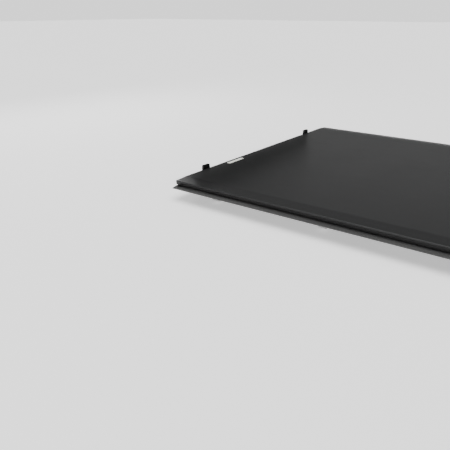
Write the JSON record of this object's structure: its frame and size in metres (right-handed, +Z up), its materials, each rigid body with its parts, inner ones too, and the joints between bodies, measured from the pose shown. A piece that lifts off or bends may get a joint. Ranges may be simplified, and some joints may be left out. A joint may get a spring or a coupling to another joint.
{
  "type": "roll-up tonneau cover",
  "caption": "Soft roll-up cover for a pickup bed: vinyl sheet on side rails and cross bows, cam-latched at the tailgate, with buckled straps at the cab end.",
  "frame": {"origin": "middle of the underside of the front rail's seal, where it rests on the bed's front wall", "axes": "+X to the truck's right-hand side, +Y towards the cab, +Z up"},
  "size_m": [1.612, 1.5273, 0.1074],
  "materials": {
    "vinyl": "matt grained vinyl-coated fabric",
    "rail": "textured dark grey powder coat",
    "bow": "mill finish",
    "moulding": "moulded, finely grained",
    "buckle": "satin acetal",
    "webbing": "woven polyester",
    "seal": "closed-cell foam",
    "tape": "nylon hooks",
    "steel": "zinc plated",
    "black_steel": "black oxide",
    "label": "printed film, blank"
  },
  "bodies": {
    "frame": {"front_rail": "rail", "front_corners": "moulding", "corner_brackets": "black_steel", "cap_screws": "steel", "rail_seals": "seal", "bow_ledges": "rail", "hook_tapes": "tape", "rail_end_caps": "moulding", "striker_blocks": "moulding", "clamp_brackets": "bow", "strap_anchor_plates": "black_steel", "strap_lower_webbings": "webbing", "buckle_sockets": "buckle", "front_cover_panel": "vinyl", "blank_label": "label", "left_side_rail": "rail", "right_side_rail": "rail"},
    "cover_section_01": {"cover_strip_01": "vinyl"},
    "cover_section_02": {"cover_strip_02": "vinyl", "bow_1": "bow", "bow_1_end_plugs": "moulding"},
    "cover_section_03": {"cover_strip_03": "vinyl"},
    "cover_section_04": {"cover_strip_04": "vinyl"},
    "cover_section_05": {"cover_strip_05": "vinyl", "bow_2": "bow", "bow_2_end_plugs": "moulding"},
    "cover_section_06": {"cover_strip_06": "vinyl"},
    "cover_section_07": {"cover_strip_07": "vinyl"},
    "cover_section_08": {"cover_strip_08": "vinyl"},
    "cover_section_09": {"cover_strip_09": "vinyl", "bow_3": "bow", "bow_3_end_plugs": "moulding"},
    "cover_section_10": {"cover_strip_10": "vinyl"},
    "cover_section_11": {"cover_strip_11": "vinyl"},
    "cover_section_12": {"cover_strip_12": "vinyl"},
    "cover_section_13": {"cover_strip_13": "vinyl"},
    "cover_section_14": {"cover_strip_14": "vinyl"},
    "cover_section_15": {"rear_cover_strip": "vinyl", "rear_bar": "bow", "rear_bar_shoes": "moulding", "lever_pins": "steel", "tailgate_seal": "seal"},
    "left_lever": {"left_cam_lever": "moulding"},
    "left_plug": {"left_buckle_plug": "buckle", "left_strap_tail": "webbing"},
    "left_jaw_1": {"left_clamp_jaw_1": "bow"},
    "left_screw_1": {"left_clamp_screw_1": "steel"},
    "left_jaw_2": {"left_clamp_jaw_2": "bow"},
    "left_screw_2": {"left_clamp_screw_2": "steel"},
    "left_jaw_3": {"left_clamp_jaw_3": "bow"},
    "left_screw_3": {"left_clamp_screw_3": "steel"},
    "right_lever": {"right_cam_lever": "moulding"},
    "right_plug": {"right_buckle_plug": "buckle", "right_strap_tail": "webbing"},
    "right_jaw_1": {"right_clamp_jaw_1": "bow"},
    "right_screw_1": {"right_clamp_screw_1": "steel"},
    "right_jaw_2": {"right_clamp_jaw_2": "bow"},
    "right_screw_2": {"right_clamp_screw_2": "steel"},
    "right_jaw_3": {"right_clamp_jaw_3": "bow"},
    "right_screw_3": {"right_clamp_screw_3": "steel"}
  },
  "joints": [
    {"name": "roll_01", "type": "hinge", "parent": "frame", "child": "cover_section_01", "pos_m": [0, -0.1715, 0.0369], "axis": [-1, 0, 0], "range_deg": [0, 60]},
    {"name": "roll_02", "type": "hinge", "parent": "cover_section_01", "child": "cover_section_02", "pos_m": [0, -0.3015, 0.0369], "axis": [-1, 0, 0], "range_deg": [0, 60]},
    {"name": "roll_03", "type": "hinge", "parent": "cover_section_02", "child": "cover_section_03", "pos_m": [0, -0.4255, 0.0369], "axis": [-1, 0, 0], "range_deg": [0, 60]},
    {"name": "roll_04", "type": "hinge", "parent": "cover_section_03", "child": "cover_section_04", "pos_m": [0, -0.5435, 0.0369], "axis": [-1, 0, 0], "range_deg": [0, 60]},
    {"name": "roll_05", "type": "hinge", "parent": "cover_section_04", "child": "cover_section_05", "pos_m": [0, -0.6555, 0.0369], "axis": [-1, 0, 0], "range_deg": [0, 60]},
    {"name": "roll_06", "type": "hinge", "parent": "cover_section_05", "child": "cover_section_06", "pos_m": [0, -0.7615, 0.0369], "axis": [-1, 0, 0], "range_deg": [0, 60]},
    {"name": "roll_07", "type": "hinge", "parent": "cover_section_06", "child": "cover_section_07", "pos_m": [0, -0.8615, 0.0369], "axis": [-1, 0, 0], "range_deg": [0, 60]},
    {"name": "roll_08", "type": "hinge", "parent": "cover_section_07", "child": "cover_section_08", "pos_m": [0, -0.9555, 0.0369], "axis": [-1, 0, 0], "range_deg": [0, 60]},
    {"name": "roll_09", "type": "hinge", "parent": "cover_section_08", "child": "cover_section_09", "pos_m": [0, -1.0435, 0.0369], "axis": [-1, 0, 0], "range_deg": [0, 60]},
    {"name": "roll_10", "type": "hinge", "parent": "cover_section_09", "child": "cover_section_10", "pos_m": [0, -1.1255, 0.0369], "axis": [-1, 0, 0], "range_deg": [0, 60]},
    {"name": "roll_11", "type": "hinge", "parent": "cover_section_10", "child": "cover_section_11", "pos_m": [0, -1.2015, 0.0369], "axis": [-1, 0, 0], "range_deg": [0, 60]},
    {"name": "roll_12", "type": "hinge", "parent": "cover_section_11", "child": "cover_section_12", "pos_m": [0, -1.2715, 0.0369], "axis": [-1, 0, 0], "range_deg": [0, 60]},
    {"name": "roll_13", "type": "hinge", "parent": "cover_section_12", "child": "cover_section_13", "pos_m": [0, -1.3355, 0.0369], "axis": [-1, 0, 0], "range_deg": [0, 60]},
    {"name": "roll_14", "type": "hinge", "parent": "cover_section_13", "child": "cover_section_14", "pos_m": [0, -1.3935, 0.0369], "axis": [-1, 0, 0], "range_deg": [0, 60]},
    {"name": "roll_15", "type": "hinge", "parent": "cover_section_14", "child": "cover_section_15", "pos_m": [0, -1.4455, 0.0369], "axis": [-1, 0, 0], "range_deg": [0, 60]},
    {"name": "left_latch_turn", "type": "hinge", "parent": "cover_section_15", "child": "left_lever", "pos_m": [-0.689, -1.4695, 0.0152], "axis": [0, 0, 1], "range_deg": [-90, 0]},
    {"name": "left_buckle_pull", "type": "slide", "parent": "frame", "child": "left_plug", "axis": [0, 0, 1], "range_m": [0, 0.032]},
    {"name": "left_clamp_slide_1", "type": "slide", "parent": "frame", "child": "left_jaw_1", "axis": [0, 0, 1], "range_m": [-0.01, 0]},
    {"name": "left_clamp_turn_1", "type": "hinge", "parent": "left_jaw_1", "child": "left_screw_1", "pos_m": [-0.685, -0.19, -0.034], "axis": [0, 0, 1], "range_deg": [-2880.5, 0]},
    {"name": "left_clamp_slide_2", "type": "slide", "parent": "frame", "child": "left_jaw_2", "axis": [0, 0, 1], "range_m": [-0.01, 0]},
    {"name": "left_clamp_turn_2", "type": "hinge", "parent": "left_jaw_2", "child": "left_screw_2", "pos_m": [-0.685, -0.745, -0.034], "axis": [0, 0, 1], "range_deg": [-2880.5, 0]},
    {"name": "left_clamp_slide_3", "type": "slide", "parent": "frame", "child": "left_jaw_3", "axis": [0, 0, 1], "range_m": [-0.01, 0]},
    {"name": "left_clamp_turn_3", "type": "hinge", "parent": "left_jaw_3", "child": "left_screw_3", "pos_m": [-0.685, -1.3, -0.034], "axis": [0, 0, 1], "range_deg": [-2880.5, 0]},
    {"name": "right_latch_turn", "type": "hinge", "parent": "cover_section_15", "child": "right_lever", "pos_m": [0.689, -1.4695, 0.0152], "axis": [0, 0, -1], "range_deg": [-90, 0]},
    {"name": "right_buckle_pull", "type": "slide", "parent": "frame", "child": "right_plug", "axis": [0, 0, 1], "range_m": [0, 0.032]},
    {"name": "right_clamp_slide_1", "type": "slide", "parent": "frame", "child": "right_jaw_1", "axis": [0, 0, 1], "range_m": [-0.01, 0]},
    {"name": "right_clamp_turn_1", "type": "hinge", "parent": "right_jaw_1", "child": "right_screw_1", "pos_m": [0.685, -0.19, -0.034], "axis": [0, 0, 1], "range_deg": [-2880.5, 0]},
    {"name": "right_clamp_slide_2", "type": "slide", "parent": "frame", "child": "right_jaw_2", "axis": [0, 0, 1], "range_m": [-0.01, 0]},
    {"name": "right_clamp_turn_2", "type": "hinge", "parent": "right_jaw_2", "child": "right_screw_2", "pos_m": [0.685, -0.745, -0.034], "axis": [0, 0, 1], "range_deg": [-2880.5, 0]},
    {"name": "right_clamp_slide_3", "type": "slide", "parent": "frame", "child": "right_jaw_3", "axis": [0, 0, 1], "range_m": [-0.01, 0]},
    {"name": "right_clamp_turn_3", "type": "hinge", "parent": "right_jaw_3", "child": "right_screw_3", "pos_m": [0.685, -1.3, -0.034], "axis": [0, 0, 1], "range_deg": [-2880.5, 0]}
  ],
  "couplings": [
    {"joint": "left_clamp_turn_1", "follows": "left_clamp_slide_1", "rad_per_m": 5026.5},
    {"joint": "left_clamp_turn_2", "follows": "left_clamp_slide_2", "rad_per_m": 5026.5},
    {"joint": "left_clamp_turn_3", "follows": "left_clamp_slide_3", "rad_per_m": 5026.5},
    {"joint": "right_clamp_turn_1", "follows": "right_clamp_slide_1", "rad_per_m": 5026.5},
    {"joint": "right_clamp_turn_2", "follows": "right_clamp_slide_2", "rad_per_m": 5026.5},
    {"joint": "right_clamp_turn_3", "follows": "right_clamp_slide_3", "rad_per_m": 5026.5}
  ]
}
